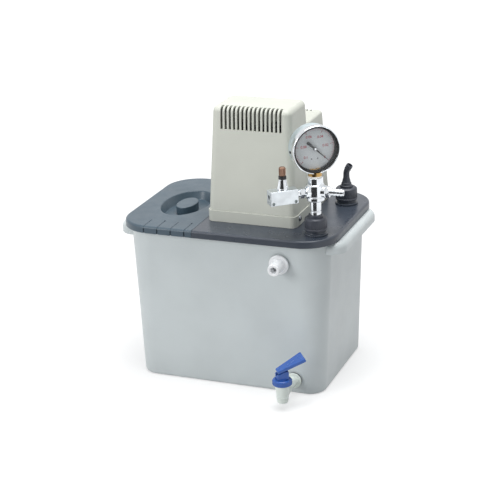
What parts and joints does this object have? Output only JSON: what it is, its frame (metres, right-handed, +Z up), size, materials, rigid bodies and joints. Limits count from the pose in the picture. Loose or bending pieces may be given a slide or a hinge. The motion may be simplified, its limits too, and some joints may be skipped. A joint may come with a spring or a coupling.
{
  "type": "suction pump",
  "caption": "Bench-top water suction pump: a water tank with a tap under a lift-off head that carries the motor, pump, ejectors, vacuum gauge and needle valve.",
  "frame": {"origin": "centre of the tank's flat underside, on the surface it stands on", "axes": "+X towards the end with the vacuum ports, +Y towards the back, +Z up"},
  "size_m": [0.33, 0.2715, 0.39],
  "materials": {
    "tank_plastic": "semi-gloss light grey moulding",
    "lid_plastic": "satin slate grey moulding",
    "housing_plastic": "fine-grained warm white moulding",
    "black_plastic": "satin charcoal moulding",
    "white_plastic": "glossy white",
    "blue_plastic": "glossy blue",
    "chrome_metal": "bright plated",
    "brass_metal": "machined",
    "copper_metal": "rose, knurled",
    "steel_metal": "machined",
    "cast_metal": "cast",
    "rubber_black": "matt",
    "gauge_glass": "clear",
    "dial_white": "printed dial with red numbers"
  },
  "bodies": {
    "tank": {"tank": "tank_plastic", "overflow_nozzle": "white_plastic", "tank_gaskets": "rubber_black", "tank_nuts": "white_plastic", "tap_body": "white_plastic", "tap_collar": "blue_plastic"},
    "tap_turret": {"tap_turret": "blue_plastic", "tap_spring": "steel_metal"},
    "tap_lever": {"tap_lever": "blue_plastic"},
    "tap_stem": {"tap_stem": "steel_metal", "tap_seal": "rubber_black"},
    "head": {"main_lid": "lid_plastic", "housing_base": "housing_plastic", "housing_shell": "housing_plastic", "housing_screws": "steel_metal", "motor_plate": "steel_metal", "motor_stator": "steel_metal", "motor_windings": "copper_metal", "motor_bells": "cast_metal", "motor_bolts": "steel_metal", "shaft_bearings": "steel_metal", "capacitor": "black_plastic", "cord_gland": "black_plastic", "switch_frame": "black_plastic", "pump_column": "steel_metal", "pump_casing": "black_plastic", "pump_cover": "black_plastic", "riser_pipes": "white_plastic", "ejector_bodies": "white_plastic", "suction_pipes": "white_plastic", "check_body": "chrome_metal", "cross_fitting": "chrome_metal", "hose_barb": "chrome_metal", "valve_nipple": "chrome_metal", "valve_block": "chrome_metal", "valve_bonnet": "chrome_metal", "valve_ring": "rubber_black", "gauge_socket": "brass_metal", "gauge_case": "chrome_metal", "gauge_bezel": "chrome_metal", "gauge_glass": "gauge_glass", "gauge_dial": "dial_white", "bourdon_tube": "brass_metal", "gauge_movement": "brass_metal"},
    "access_cover": {"access_cover": "lid_plastic"},
    "rotor": {"rotor_shaft": "steel_metal", "rotor_core": "steel_metal", "cooling_fan": "black_plastic", "impeller": "black_plastic"},
    "switch_rocker": {"switch_rocker": "black_plastic"},
    "check_ball": {"check_ball": "steel_metal"},
    "valve_needle": {"valve_needle": "chrome_metal"},
    "valve_knob": {"valve_knob": "copper_metal"},
    "gauge_pointer": {"gauge_pointer": "black_plastic"},
    "gauge_sector": {"gauge_sector": "brass_metal"},
    "front_slip_ring": {"front_slip_ring": "white_plastic"},
    "front_cap": {"front_cap": "black_plastic"},
    "rear_slip_ring": {"rear_slip_ring": "white_plastic"},
    "rear_cap": {"rear_cap": "black_plastic"},
    "rear_elbow": {"rear_elbow": "black_plastic"}
  },
  "joints": [
    {"name": "head_lift", "type": "slide", "parent": "tank", "child": "head", "axis": [0, 0, 1], "range_m": [0, 0.235]},
    {"name": "cover_lift", "type": "slide", "parent": "head", "child": "access_cover", "axis": [0, 0, 1], "range_m": [0, 0.1]},
    {"name": "tap_swivel", "type": "hinge", "parent": "tank", "child": "tap_turret", "pos_m": [0.098, -0.145, 0.044], "axis": [0, 0, 1], "range_deg": [-180, 180]},
    {"name": "tap_press", "type": "hinge", "parent": "tap_turret", "child": "tap_lever", "pos_m": [0.1021, -0.14213, 0.0525], "axis": [-0.5736, 0.8191, 0], "range_deg": [0, 28], "stiffness_Nm_per_rad": 0.35, "springref_deg": -11.46},
    {"name": "tap_stem_lift", "type": "slide", "parent": "tap_turret", "child": "tap_stem", "axis": [0, 0, 1], "range_m": [0, 0.0026], "deforming": ["tap_spring"]},
    {"name": "rotor_spin", "type": "hinge", "parent": "head", "child": "rotor", "pos_m": [0.03, -0.008, 0.25], "axis": [0, 0, 1], "continuous": true},
    {"name": "switch_rock", "type": "hinge", "parent": "head", "child": "switch_rocker", "pos_m": [-0.02742, -0.03, 0.30785], "axis": [0, 1, 0], "range_deg": [-18, 0]},
    {"name": "ball_lift", "type": "slide", "parent": "head", "child": "check_ball", "axis": [0, 0, 1], "range_m": [0, 0.003]},
    {"name": "needle_lift", "type": "slide", "parent": "head", "child": "valve_needle", "axis": [0, 0, 1], "range_m": [0, 0.0021]},
    {"name": "knob_turn", "type": "hinge", "parent": "valve_needle", "child": "valve_knob", "pos_m": [0.09095, -0.10641, 0.317], "axis": [0, 0, 1], "range_deg": [0, 1080]},
    {"name": "pointer_turn", "type": "hinge", "parent": "head", "child": "gauge_pointer", "pos_m": [0.126, -0.077, 0.348], "axis": [0.6428, -0.766, 0], "range_deg": [0, 270]},
    {"name": "sector_turn", "type": "hinge", "parent": "head", "child": "gauge_sector", "pos_m": [0.126, -0.077, 0.3264], "axis": [0.6428, -0.766, 0], "range_deg": [-33.8, 0]},
    {"name": "front_cap_rise", "type": "slide", "parent": "head", "child": "front_slip_ring", "axis": [0, 0, 1], "range_m": [0, 0.008]},
    {"name": "front_cap_turn", "type": "hinge", "parent": "front_slip_ring", "child": "front_cap", "pos_m": [0.126, -0.077, 0.245], "axis": [0, 0, 1], "range_deg": [0, 720]},
    {"name": "rear_cap_rise", "type": "slide", "parent": "head", "child": "rear_slip_ring", "axis": [0, 0, 1], "range_m": [0, 0.008]},
    {"name": "rear_cap_turn", "type": "hinge", "parent": "rear_slip_ring", "child": "rear_cap", "pos_m": [0.126, 0.057, 0.245], "axis": [0, 0, 1], "range_deg": [0, 720]},
    {"name": "elbow_swivel", "type": "hinge", "parent": "head", "child": "rear_elbow", "pos_m": [0.126, 0.057, 0.255], "axis": [0, 0, 1], "continuous": true}
  ],
  "couplings": [
    {"joint": "tap_stem_lift", "follows": "tap_press", "m_per_rad": 0.005},
    {"joint": "knob_turn", "follows": "needle_lift", "rad_per_m": 8975},
    {"joint": "sector_turn", "follows": "pointer_turn", "ratio": -0.125},
    {"joint": "front_cap_rise", "follows": "front_cap_turn", "m_per_rad": 0.0006366},
    {"joint": "rear_cap_rise", "follows": "rear_cap_turn", "m_per_rad": 0.0006366}
  ]
}
